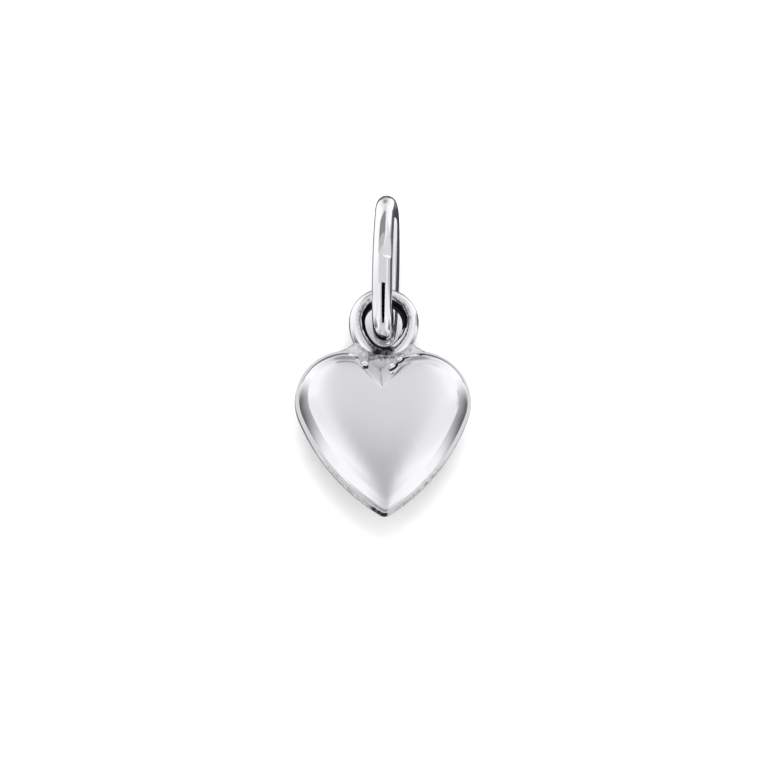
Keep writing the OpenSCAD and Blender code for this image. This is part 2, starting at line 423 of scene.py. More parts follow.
class NodeWork:
    """Adds nodes to one tree. A value is a number, a colour or the output of another node."""

    def __init__(self, tree):
        self.nodes = tree.nodes
        self.links = tree.links

    def give(self, socket, value):
        """Links a socket to an output, or sets it to a plain value."""
        if isinstance(value, bpy.types.NodeSocket):
            self.links.new(value, socket)
        else:
            socket.default_value = value

    def fill(self, node, values):
        """Gives a node's inputs their values by name."""
        for name, value in values.items():
            self.give(node.inputs[name], value)
        return node

    def add(self, kind, values=()):
        return self.fill(self.nodes.new(kind), dict(values))

    def add_group(self, group, values):
        node = self.nodes.new("ShaderNodeGroup")
        node.node_tree = group
        return self.fill(node, values).outputs

    def math(self, operation, *values):
        node = self.nodes.new("ShaderNodeMath")
        node.operation = operation
        for socket, value in zip(node.inputs, values):
            self.give(socket, value)
        return node.outputs[0]

    def noise(self, place, scale, detail, roughness=0.5):
        """Noise from 0 to 1, its scale given for each metre."""
        values = {"Vector": place, "Scale": scale, "Detail": detail, "Roughness": roughness}
        return self.add("ShaderNodeTexNoise", values).outputs["Fac"]

    def step(self, value, start, stop, low=0.0, high=1.0):
        """Goes smoothly from low to high as the value goes from start to stop."""
        values = {"Value": value, "From Min": start, "From Max": stop, "To Min": low, "To Max": high}
        node = self.add("ShaderNodeMapRange", values)
        node.interpolation_type = "SMOOTHSTEP"
        return node.outputs["Result"]

    def mix(self, share, first, second, kind="FLOAT"):
        """Goes from the first value to the second as the share goes from 0 to 1."""
        node = self.nodes.new("ShaderNodeMix")
        node.data_type = kind
        return self.fill(node, {"Factor": share, "A": first, "B": second}).outputs["Result"]

    def either(self, share, first, second):
        """The first surface where the share is 0 and the second where it is 1."""
        node = self.nodes.new("ShaderNodeMixShader")
        for socket, value in zip(node.inputs, (share, first, second)):
            self.give(socket, value)
        return node.outputs[0]


def effect_group(name, inputs, outputs, fill):
    """The node group of this name, which fill() builds when it is first asked for."""
    group = bpy.data.node_groups.get(name)
    if group:
        return group
    group = bpy.data.node_groups.new(name, "ShaderNodeTree")
    for label, kind, value in inputs:
        socket = group.interface.new_socket(name=label, in_out="INPUT", socket_type=kind)
        socket.default_value = value
    for label, kind in outputs:
        group.interface.new_socket(name=label, in_out="OUTPUT", socket_type=kind)
    work = NodeWork(group)
    given = work.add("NodeGroupInput")
    result = work.add("NodeGroupOutput")
    fill(work, given.outputs, result.inputs)
    return group


def fill_handling_wear(work, given, result):
    place = work.add("ShaderNodeTexCoord").outputs["Object"]
    cloud = work.math("SUBTRACT", work.noise(place, scale=420.0, detail=4.0), 0.5)
    work.give(result["Roughness"], work.math("MULTIPLY_ADD", cloud, given["Cloudiness"], given["Roughness"]))
    # Squeezed along one direction, the noise is drawn out into scratches
    squeeze = {"Vector": place, "Rotation": (0.4, 0.9, 0.7), "Scale": (1.0, 14.0, 1.0)}
    along = work.add("ShaderNodeMapping", squeeze).outputs["Vector"]
    scratches = work.noise(along, scale=900.0, detail=6.0, roughness=0.7)
    scratches = work.math("MULTIPLY", scratches, given["Scratches"])
    swell = work.noise(place, scale=260.0, detail=2.0)
    height = work.math("MULTIPLY_ADD", swell, given["Unevenness"], scratches)
    pits = work.noise(place, scale=5200.0, detail=5.0)
    work.give(result["Height"], work.math("MULTIPLY_ADD", pits, given["Pitting"], height))


def handling_wear_group():
    """Fine scratches, pits and soft unevenness, which each silver finish carries in its own measure."""
    inputs = (
        ("Roughness", FLOAT, 0.2),
        ("Cloudiness", FLOAT, 0.05),
        ("Scratches", FLOAT, 0.3),
        ("Unevenness", FLOAT, 0.3),
        ("Pitting", FLOAT, 0.0),
    )
    outputs = (("Roughness", FLOAT), ("Height", FLOAT))
    return effect_group("Handling wear", inputs, outputs, fill_handling_wear)


def fill_polish(work, given, result):
    mask = given["Mask"]
    work.give(result["Roughness"], work.mix(mask, given["Satin roughness"], given["Polished roughness"]))
    work.give(result["Color"], work.mix(mask, given["Satin color"], given["Polished color"], "RGBA"))


def polish_group():
    """From a satin to a polished finish as the mask goes from 0 to 1."""
    inputs = (
        ("Mask", FLOAT, 0.0),
        ("Satin roughness", FLOAT, 0.4),
        ("Polished roughness", FLOAT, 0.1),
        ("Satin color", COLOR, (0.9, 0.9, 0.9, 1.0)),
        ("Polished color", COLOR, (0.9, 0.9, 0.9, 1.0)),
    )
    return effect_group("Polish", inputs, (("Roughness", FLOAT), ("Color", COLOR)), fill_polish)


def fill_shade_and_darkening(work, given, result):
    place = work.add("ShaderNodeTexCoord").outputs["Object"]
    patches = work.math("SUBTRACT", work.noise(place, scale=3600.0, detail=4.0), 0.5)
    broken = work.math("MULTIPLY_ADD", patches, given["Patchiness"], given["Mask"])
    share = work.step(broken, 0.3, 0.7)
    dark_roughness = 0.5
    # The dark colour is painted shade and painted dark reflection, and on the solder a darkening
    work.give(result["Color"], work.mix(share, given["Unshaded"], given["Dark"], "RGBA"))
    work.give(result["Roughness"], work.mix(share, given["Roughness"], dark_roughness))


def shade_and_darkening_group():
    """Black in ragged patches where the mask is high: painted shade and painted dark reflections, and a
    darkening of the solder.
    """
    inputs = (
        ("Mask", FLOAT, 0.0),
        ("Unshaded", COLOR, (0.9, 0.9, 0.9, 1.0)),
        ("Dark", COLOR, (0.02, 0.02, 0.025, 1.0)),
        ("Roughness", FLOAT, 0.2),
        ("Patchiness", FLOAT, 0.6),
    )
    return effect_group("Shade_and_darkening", inputs, (("Color", COLOR), ("Roughness", FLOAT)), fill_shade_and_darkening)


class SilverFinish(NodeWork):
    """A silver material: its steps change the colour and roughness that finished() gives to the shader."""

    def __init__(self, name, plain_color, roughness):
        self.material = bpy.data.materials.new(name)
        self.material.use_nodes = True
        super().__init__(self.material.node_tree)
        self.shader = self.nodes["Principled BSDF"]
        self.shader.inputs["Metallic"].default_value = 1.0
        self.color = (*plain_color, 1.0)
        self.roughness = roughness

    def mask(self, name):
        node = self.add("ShaderNodeAttribute")
        node.attribute_name = name
        return node.outputs["Fac"]

    def polish(self, roughness, polished_color=None):
        """Where the Polish mask is 1 the metal has this roughness, and this colour if one is given."""
        values = {
            "Mask": self.mask("Polish"),
            "Satin roughness": self.roughness,
            "Polished roughness": roughness,
        }
        if polished_color:
            values["Satin color"] = self.color
            values["Polished color"] = (*polished_color, 1.0)
        polished = self.add_group(polish_group(), values)
        self.roughness = polished["Roughness"]
        if polished_color:
            self.color = polished["Color"]

    def wear(self, cloudiness, scratches, unevenness, pitting, depth):
        """A cloudy shine, with scratches, swells and pits that are as deep as depth, in millimetres."""
        worn = self.add_group(handling_wear_group(), {
            "Roughness": self.roughness,
            "Cloudiness": cloudiness,
            "Scratches": scratches,
            "Unevenness": unevenness,
            "Pitting": pitting,
        })
        self.roughness = worn["Roughness"]
        bump = self.add("ShaderNodeBump", {"Strength": 1.0, "Distance": depth * MM, "Height": worn["Height"]})
        self.give(self.shader.inputs["Normal"], bump.outputs["Normal"])

    def shade_and_darkening(self, patchiness):
        """Blackens the metal where its mask is 1: painted shade and painted dark reflections, and a patchy
        darkening of the solder.
        """
        shaded_and_darkened = self.add_group(shade_and_darkening_group(), {
            "Mask": self.mask("Shade_and_darkening"),
            "Unshaded": self.color,
            "Roughness": self.roughness,
            "Patchiness": patchiness,
        })
        self.color = shaded_and_darkened["Color"]
        self.roughness = shaded_and_darkened["Roughness"]

    def finished(self):
        self.give(self.shader.inputs["Base Color"], self.color)
        self.give(self.shader.inputs["Roughness"], self.roughness)
        return self.material


# Pieces


class PENDANT_OT_bail(bpy.types.Operator):
    """Make the oval loop of round wire, with the plain flat on its front arm"""

    bl_idname = "pendant.bail"
    bl_label = "Oval bail"

    def execute(self, context):
        bail = context.scene.pendant_bail
        silver = context.scene.pendant_silver
        wire = bail.wire / MM / 2
        half_h = bail.height / MM / 2 - wire
        half_w = bail.depth / MM / 2 - wire
        end = bail.end_radius / MM
        long_r, meet = long_side(half_w, half_h, end)
        arcs = (
            (half_w - long_r, 0, long_r, -meet, meet, 80),
            (0, half_h - end, end, meet, math.pi - meet, 44),
            (long_r - half_w, 0, long_r, math.pi - meet, math.pi + meet, 80),
            (0, end - half_h, end, math.pi + meet, 2 * math.pi - meet, 44),
        )
        rings = swept_loop(arcs, arc_points(0, 0, wire, spread(0, 2 * math.pi, 72)[:-1]))
        # The loop is drawn in the XZ plane and stands in the YZ plane, with its front arm toward -Y
        rings = np.stack([rings[..., 1], rings[..., 0], rings[..., 2] + wire - half_h], -1)
        rings = self.with_flat(rings, bail, -half_w, wire)
        rings = turned_about_y(turned_about_z(rings, -bail.turn), bail.lean)
        piece = loop_object("oval_bail", rings)
        finish = SilverFinish("Drawn silver wire", silver.silver, silver.wire_roughness)
        finish.wear(cloudiness=0.05, scratches=0.35, unevenness=0.5, pitting=0.7, depth=0.005)
        material = finish.finished()
        finish_piece(piece, material, "bail", "carrier_bail", sharp_degrees=60)
        return {"FINISHED"}

    @staticmethod
    def with_flat(rings, bail, arm_y, wire):
        """Press the points that stand over the flat back onto it, above its lower end."""
        out = np.array([math.sin(bail.flat_side), -math.cos(bail.flat_side)])
        level = wire - bail.flat_depth / MM
        over = (rings[..., 0] * out[0] + (rings[..., 1] - arm_y) * out[1]) - level
        ramp = np.clip((rings[..., 2] - bail.flat_low / MM) / (bail.flat_ramp / MM), 0, 1)
        pressed = np.where((over > 0) & (rings[..., 1] < 0), over * ramp, 0)
        moved = rings.copy()
        moved[..., 0] -= pressed * out[0]
        moved[..., 1] -= pressed * out[1]
        return moved


class PENDANT_OT_ring(bpy.types.Operator):
    """Make the jump ring that stands in the cleft"""

    bl_idname = "pendant.ring"
    bl_label = "Jump ring"

    # How dark the painted reflection is on the wire's faces toward the hole, how much the painted dark
    # reflection on the inner wall adds to that, and how dark the painted shade at the low end is
    side_reflection = 0.43
    wall_reflection = 0.57
    low_end_shade = 0.62
    # Part of the painted darkening that is left off low at the back
    lighter_back = 0.8

    def execute(self, context):
        ring = context.scene.pendant_ring
        silver = context.scene.pendant_silver
        wire = ring.wire / MM / 2
        half_w = ring.width / MM / 2 - wire
        drop = ring.drop / MM
        end = ring.end_radius / MM
        long_r, meet = long_side(half_w, drop, end)
        arcs = (
            (0, 0, half_w, 0, math.pi, 110),
            (long_r - half_w, 0, long_r, math.pi, math.pi + meet, 24),
            (0, end - drop, end, math.pi + meet, 2 * math.pi - meet, 60),
            (half_w - long_r, 0, long_r, 2 * math.pi - meet, 2 * math.pi, 24),
        )
        section = self.deep_section(wire, ring.depth / MM / 2 - wire)
        rings = swept_loop(arcs, section)
        # Painted dark reflections on the ring's inner side and painted shade at its low end
        painted_shade_and_reflection = self.painted_shade_and_reflection(rings, -section[:, 0] / wire)
        piece = loop_object("jump_ring", rings + np.array([ring.middle_x, 0, ring.middle_z]) / MM)
        add_mask(piece, "Shade_and_darkening", painted_shade_and_reflection)
        finish = SilverFinish("Worn silver wire", silver.silver, silver.ring_roughness)
        finish.wear(cloudiness=0.08, scratches=0.5, unevenness=0.6, pitting=1.0, depth=0.008)
        finish.shade_and_darkening(patchiness=0.7)
        material = finish.finished()
        finish_piece(piece, material, "heart", "heart_with_ring", sharp_degrees=60)
        return {"FINISHED"}

    @staticmethod
    def deep_section(wire, straight):
        """Two half circles with a straight side between them, deeper than it is wide."""
        back = arc_points(0, straight, wire, spread(0, math.pi, 30))
        sides = spread(straight, -straight, 6, 1)[:-1]
        left = np.stack([np.full(len(sides), -wire), sides], 1)
        return np.concatenate([back, left, -back, -left])

    def painted_shade_and_reflection(self, rings, inward):
        """Painted dark reflection on the inner wall and the faces toward the hole, and painted shade at the
        low end; less low at the back and low on the right.
        """
        x, y, z = rings[..., 0], rings[..., 1], rings[..., 2]
        sides = self.side_reflection * smooth_step(inward, -0.4, 0.1)
        wall = self.wall_reflection * smooth_step(inward, 0.42, 0.62)
        back = smooth_step(y, -0.5, -0.2) * smooth_step(-z, 0.4, 1.0)
        right = smooth_step(x, 0.2, 0.6) * smooth_step(-z, 0.35, 0.75)
        low_end = smooth_step(-z, 1.6, 1.9) * smooth_step(x, -1.6, -0.6) * (1 - smooth_step(x, 0.3, 1.3))
        inner = (sides + wall) * (1 - self.lighter_back * back) * (1 - right)
        return np.maximum(inner, low_end * self.low_end_shade)


class PENDANT_OT_heart(bpy.types.Operator):
    """Make the two stamped domes, the rim where they meet and the fine seam round it"""

    bl_idname = "pendant.heart"
    bl_label = "Stamped heart"

    # How far a cloth polishes the tops of the domes, where the flanks are at 1
    top_polish = 0.6
    # How dark the painted reflection is along the rim's edge and beside the tip, and the painted shade in the
    # crease between the facets
    edge_reflection = 0.45
    tip_reflection = 0.66
    crease_shade = 0.56
    # Height over the lobes' centres of the point from which the streaks spread, in millimetres
    streak_centre_z = 0.6
    # How fast the streaks' waves change round that point, their share of the height and their start
    streak_waves = ((31, 0.4, 1), (53, 0.35, 2), (71, 0.25, 0))

    def execute(self, context):
        heart = context.scene.pendant_heart
        silver = context.scene.pendant_silver
        form = HeartForm(heart)
        front, parts, facets, insets = self.front_rings(heart, form)
        points, faces = self.both_halves(front, form)
        piece = object_from("stamped_heart", form.placed(points), faces)
        parts = self.on_both(parts, 1.0)
        facets = self.on_both(facets, 0.0)
        insets = self.on_both(insets, form.rim_width)
        add_mask(piece, "Polish", self.polish(points, parts, facets))
        # A mask of painted dark reflections along the rim's edge and painted shade in the facets' crease
        add_mask(piece, "Shade_and_darkening", self.painted_shade_and_reflection(points, insets, facets, form))
        finish = SilverFinish("Stamped silver", silver.silver, silver.matte_roughness)
        finish.polish(silver.rim_roughness)
        finish.wear(cloudiness=0.04, scratches=0.05, unevenness=0.5, pitting=0.05, depth=0.006)
        finish.shade_and_darkening(patchiness=0.4)
        material = finish.finished()
        finish_piece(piece, material, "heart", "heart_with_ring", sharp_degrees=38)
        return {"FINISHED"}

    def front_rings(self, heart, form):
        """Rings from the middle of the front dome out to the bottom of the seam in the rim's edge.

        For each point they come with how far in it is, how much it lies in a facet and its inset.
        """
        size = len(form.foot)
        rings, parts, facets, insets = [], [], [], []
        # The squares crowd the rings toward the foot, where the dome is steepest
        for u in np.linspace(0.985, 0.012, heart.rings):
            ring = form.foot + (form.middle - form.foot) * u**2
            part = form.part_in(ring)
            height = form.dome(ring, part) + self.streaks(ring, part, heart)
            rings.append(self.raised(ring, form.rim + height))
            parts.append(part)
            facets.append(smooth_step(form.plain_dome(part) - height, 0.02, 0.06))
            insets.append(np.full(size, form.rim_width))
        edge = heart.rim_edge / MM
        groove = heart.seam_width / MM / 2
        rim_points = [(form.rim_width, form.rim), (form.rim_width / 2, form.rim)]
        for turn in np.radians([0, 30, 60, 90]):
            rim_points.append((edge * (1 - math.sin(turn)), form.rim - edge * (1 - math.cos(turn))))
        # The groove is a fifth as wide at its bottom as at its mouth
        rim_points.append((0.0, groove))
        rim_points.append((heart.seam_depth / MM, groove / 5))
        for inset, height in rim_points:
            rings.append(self.raised(form.around(inset), height))
            parts.append(np.zeros(size))
            facets.append(np.zeros(size))
            insets.append(np.full(size, inset))
        return rings, parts, facets, insets

    @staticmethod
    def raised(ring, height):
        return np.stack([ring[:, 0], -np.broadcast_to(height, len(ring)), ring[:, 1]], 1)

    @staticmethod
    def both_halves(front, form):
        """Points and faces of both halves, with a fan of triangles round the middle of each dome."""
        rings = front + [ring * [1, -1, 1] for ring in reversed(front)]
        size = len(form.foot)
        x, z = form.middle
        points = np.concatenate(rings + [[[x, -form.top, z], [x, form.top, z]]])
        faces = band_faces(len(rings), size, wrap=False)
        front_middle, back_middle = len(points) - 2, len(points) - 1
        last_ring = front_middle - size
        for i in range(size):
            j = (i + 1) % size
            faces.append((j, i, front_middle))
            faces.append((last_ring + i, last_ring + j, back_middle))
        return points, faces

    @staticmethod
    def on_both(values, in_the_middle):
        """Values for the points of both halves, from those of the front rings."""
        return np.concatenate(values + values[::-1] + [[in_the_middle, in_the_middle]])

    def streaks(self, points, part, heart):
        """Faint ridges that the die left, spread from under the facets toward the rim."""
        across = points[:, 0] - heart.facet_x / MM
        down = self.streak_centre_z - points[:, 1]
        turn = np.arctan2(across, down)
        waves = sum(share * np.sin(count * turn + start) for count, share, start in self.streak_waves)
        away = smooth_step(np.hypot(across, down), 0.4, 2.0) * smooth_step(down, -0.5, 1.0)
        return heart.streaks / MM * waves * smooth_step(part, 0.12, 0.3) * away

    def polish(self, points, parts, facets):
        """A cloth reaches the flanks best, the tops of the domes less and the facets not at all."""
        flank = 1 - smooth_step(parts, 0.3, 0.62)
        beside = smooth_step(np.abs(points[:, 0]), 0.5, 1.7)
        return (self.top_polish + (1 - self.top_polish) * flank * beside) * (1 - facets)

    def painted_shade_and_reflection(self, points, insets, facets, form):
        """Painted reflection, gray along the edge of the rim toward the tip and black beside the tip, and
        painted shade in the facets' crease.
        """
        x, z = points[:, 0], points[:, 2]
        edge = 1 - smooth_step(insets, 0.08, 0.2)
        low = smooth_step(-z, 2.5, 5.0)
        beside_tip = (1 - smooth_step(z - form.lowest, 0.4, 1.0)) * (1 - smooth_step(x, 0.1, 0.3))
        crease = 1 - smooth_step(np.abs(x - form.facet_x), 0.02, 0.07)
        return np.maximum.reduce([
            edge * low * self.edge_reflection,
            edge * beside_tip * self.tip_reflection,
            crease * facets * self.crease_shade,
        ])


class PENDANT_OT_solder(bpy.types.Operator):
    """Make the solder that fills the cleft, runs up the ring and leaves a few beads"""

    bl_idname = "pendant.solder"
    bl_label = "Solder"

    # Distance from the middle as a part of the reach, top and bottom over the ring's centre, and part
    # of the full depth
    rows = (
        (0.0, -2.15, -3.54, 1.0),
        (0.18, -2.13, -3.58, 1.0),
        (0.36, -1.94, -3.44, 0.96),
        (0.52, -1.58, -3.18, 0.86),
        (0.64, -1.38, -2.94, 0.72),
        (0.74, -1.66, -2.74, 0.58),
        (0.86, -1.9, -2.54, 0.46),
        (1.0, -2.06, -2.38, 0.32),
    )
    # Beads of solder on the front of the heart, as places across and up in millimetres and radii
    beads = (
        ((-1.7, -11.13), 0.2),
        ((0.79, -10.68), 0.19),
        ((0.31, -11.17), 0.22),
        ((0.2, -11.72), 0.09),
    )
    # Height of a bead's centre over the dome, and width and thickness of its puddle, for a radius of 1
    bead_rise = 0.75
    puddle_width = 1.9
    puddle_depth = 0.45
    # Lumps of the flow for each millimetre, how fast the finer ones fade, how much finer each step is
    # and how many steps there are
    lump_scale = 1.4
    lump_fade = 0.8
    lump_gap = 2.1
    lump_steps = 4
    # How dark the painted shade is under the ring, the patchy darkening over all the solder, and what is
    # added to that near the middle
    under_ring_shade = 0.74
    patchy_darkening = 0.24
    darker_near_middle = 0.2
    # Part of the darkening that is taken off below the ring
    lighter_below_ring = 0.8

    def execute(self, context):
        solder = context.scene.pendant_solder
        silver = context.scene.pendant_silver
        ring = context.scene.pendant_ring
        form = HeartForm(context.scene.pendant_heart)
        piece = self.flowed_body(solder, ring)
        beads = [self.seated(x, z, radius, form) for (x, z), radius in self.beads]
        self.add_beads(piece, beads)
        self.fuse(context, piece, solder)
        self.roughen(piece, solder)
        self.mark(piece, beads, ring)
        finish = SilverFinish("Satin solder", silver.solder, silver.solder_roughness)
        finish.polish(silver.bead_roughness, silver.bead)
        finish.wear(cloudiness=0.25, scratches=0.5, unevenness=0.5, pitting=3.2, depth=0.035)
        finish.shade_and_darkening(patchiness=1.0)
        material = finish.finished()
        finish_piece(piece, material, "heart", "heart_with_ring", sharp_degrees=180)
        return {"FINISHED"}

    def flowed_body(self, solder, ring):
        """A bar across the cleft, its section an oval that the rows give."""
        table = np.array(self.rows)
        ring_x, ring_z = ring.middle_x / MM, ring.middle_z / MM
        reach = solder.reach / MM
        half_depth = solder.depth / MM / 2
        parts = np.linspace(-1, 1, 61)
        top, bottom, deep = (np.interp(np.abs(parts), table[:, 0], table[:, k]) for k in (1, 2, 3))
        angles = spread(0, 2 * math.pi, 32)[:-1]
        rings = [
            np.stack([
                np.full(len(angles), ring_x + reach * part),
                half_depth * d * np.cos(angles),
                ring_z + (t + b) / 2 + (t - b) / 2 * np.sin(angles),
            ], 1)
            for part, t, b, d in zip(parts, top, bottom, deep)
        ]
        points = np.concatenate(rings)
        faces = band_faces(len(rings), len(angles), wrap=False)
        faces.append(tuple(range(len(angles))))
        faces.append(tuple(reversed(range(len(points) - len(angles), len(points)))))
        return object_from("solder_fillet", points, faces)

    @staticmethod
    def seated(x, z, radius, form):
        """A bead's point on the dome, the direction in which the dome faces there and the radius."""
        # The dome's slope is felt at a small step to the side and a small step up
        step = 0.02
        near = np.array([[x, z], [x + step, z], [x, z + step]]) - form.place[[0, 2]]
        height = form.dome(near, form.part_in(near))
        spot = Vector((x, -height[0] - form.rim, z))
        facing = Vector((height[0] - height[1], -step, height[0] - height[2])).normalized()
        return spot, facing, radius

    def bead_centre(self, spot, facing, radius):
        return spot + facing * radius * self.bead_rise

    def add_beads(self, piece, beads):
        """Each bead stands on a flat puddle."""
        flat = Matrix.Diagonal((self.puddle_width, self.puddle_width, self.puddle_depth, 1))
        work = bmesh.new()
        work.from_mesh(piece.data)
        for spot, facing, radius in beads:
            turn = facing.to_track_quat("Z", "Y").to_matrix().to_4x4()
            puddle = Matrix.Translation(spot) @ turn @ flat
            bead = Matrix.Translation(self.bead_centre(spot, facing, radius))
            for matrix in (puddle, bead):
                bmesh.ops.create_icosphere(work, subdivisions=3, radius=radius, matrix=matrix)
        work.to_mesh(piece.data)
        work.free()

    @staticmethod
    def fuse(context, piece, solder):
        """Melts the bar, the puddles and the beads into one skin."""
        remesh = piece.modifiers.new("Fuse", "REMESH")
        remesh.mode = "VOXEL"
        remesh.voxel_size = solder.grain / MM
        smooth = piece.modifiers.new("Settle", "SMOOTH")
        smooth.factor = 0.5
        smooth.iterations = 6
        depsgraph = context.evaluated_depsgraph_get()
        fused = bpy.data.meshes.new_from_object(piece.evaluated_get(depsgraph))
        if not fused.polygons:
            raise RuntimeError("the solder came out empty")
        piece.modifiers.clear()
        piece.data = fused

    def roughen(self, piece, solder):
        """Moves each point in or out by the lumps of the flow."""
        mesh = piece.data
        places = mesh_points(mesh)
        outward = np.array([tuple(normal.vector) for normal in mesh.vertex_normals])
        lumps = np.array([
            noise.fractal(Vector(place) * self.lump_scale, self.lump_fade, self.lump_gap, self.lump_steps)
            for place in places
        ])
        places += outward * (lumps * solder.lumps / MM / 2)[:, None]
        mesh.vertices.foreach_set("co", places.ravel())
        mesh.update()

    def mark(self, piece, beads, ring):
        """Masks for the polished beads, the painted shadow beside each, the painted shade under the ring and
        a patchy darkening.

        Its steps are in millimetres, in parts of the ring's outline or in radii of a bead.
        """
        places = mesh_points(piece.data)
        half_w = ring.width / MM / 2
        low = (ring.drop + ring.wire / 2) / MM
        across = np.abs(places[:, 0] - ring.middle_x / MM)
        down = ring.middle_z / MM - places[:, 2]
        oval = np.hypot(across / half_w, down / low)
        # Painted shade in the ring's hole over the solder
        inside = (1 - smooth_step(oval, 0.84, 0.95)) * (1 - smooth_step(across, 1.0, 1.7))
        darkening = self.patchy_darkening + self.darker_near_middle * (1 - smooth_step(across, 0.9, 2.0))
        darkening *= 1 - self.lighter_below_ring * smooth_step(down, low, low + 0.35)
        shade_and_darkening = np.maximum(inside * self.under_ring_shade, darkening)
        polish = np.zeros(len(places))
        for spot, facing, radius in beads:
            from_bead = places - np.array(self.bead_centre(spot, facing, radius))
            away = np.linalg.norm(from_bead, axis=1) / radius
            polish = np.maximum(polish, 1 - smooth_step(away, 1.1, 1.25))
            # A painted shadow lies at the lower right of a bead, never on the bead
            beside = smooth_step(from_bead[:, 0] - from_bead[:, 2], 0.2 * radius, 0.9 * radius)
            bead_shadow = (1 - smooth_step(away, 1.7, 2.1)) * beside
            shade_and_darkening = np.maximum(shade_and_darkening, bead_shadow) * smooth_step(away, 1.02, 1.12)
        add_mask(piece, "Polish", polish)
        add_mask(piece, "Shade_and_darkening", shade_and_darkening)


# Studio


def empty_material(name):
    """A material and the work that fills it."""
    material = bpy.data.materials.new(name)
    material.use_nodes = True
    material.node_tree.nodes.clear()
    return material, NodeWork(material.node_tree)


def one_way_white(name, front_color):
    """A white that shows on the front of a sheet, which is clear from behind."""
    material, work = empty_material(name)
    white = work.add("ShaderNodeBsdfDiffuse", {"Color": (*front_color, 1.0)}).outputs[0]
    clear = work.add("ShaderNodeBsdfTransparent").outputs[0]
    behind = work.add("ShaderNodeNewGeometry").outputs["Backfacing"]
    work.add("ShaderNodeOutputMaterial", {"Surface": work.either(behind, white, clear)})
    return material


def glow(work, brightness):
    """Gives a card its brightness."""
    light = work.add("ShaderNodeEmission", {"Strength": brightness})
    work.add("ShaderNodeOutputMaterial", {"Surface": light.outputs[0]})


def plain_card(name, brightness):
    material, work = empty_material(name)
    glow(work, brightness)
    return material


def graded_card(name):
    """A card that grows dimmer toward the back and melts into the room above and below."""
    material, work = empty_material(name)
    place = work.add("ShaderNodeTexCoord").outputs["Object"]
    parts = work.add("ShaderNodeSeparateXYZ", {"Vector": place}).outputs
    front_brightness, back_brightness, room_brightness = 0.62, 0.15, 1.0
    level = work.step(parts["Y"], -9.0 * MM, 4.0 * MM, front_brightness, back_brightness)
    above = work.step(parts["Z"], -12.5 * MM, -6.5 * MM)
    below = work.step(parts["Z"], -15.0 * MM, -21.5 * MM)
    glow(work, work.mix(work.math("MAXIMUM", above, below), level, room_brightness))
    return material


def sheet_object(name, corners, material):
    """A flat sheet of the stage that mirrors don't show, from four corners in millimetres."""
    mesh = bpy.data.meshes.new(name)
    mesh.from_pydata([[value * MM for value in corner] for corner in corners], [], [(0, 1, 2, 3)])
    sheet = bpy.data.objects.new(name, mesh)
    bpy.context.scene.collection.objects.link(sheet)
    sheet.data.materials.append(material)
    sheet.visible_glossy = False
    return sheet


def front_sheet(name, y, left, right, low, high, material):
    """An upright sheet whose front faces -Y."""
    corners = [(left, y, low), (right, y, low), (right, y, high), (left, y, high)]
    return sheet_object(name, corners, material)


def side_sheet(name, x, front, back, low, high, material):
    """An upright sheet across the X axis."""
    corners = [(x, front, low), (x, back, low), (x, back, high), (x, front, high)]
    return sheet_object(name, corners, material)


def mirrored_only(card):
    """Keeps a card out of the picture and of the even light: only mirror reflections show it."""
    card.visible_camera = False
    card.visible_diffuse = False
    card.visible_shadow = False
    card.visible_glossy = True


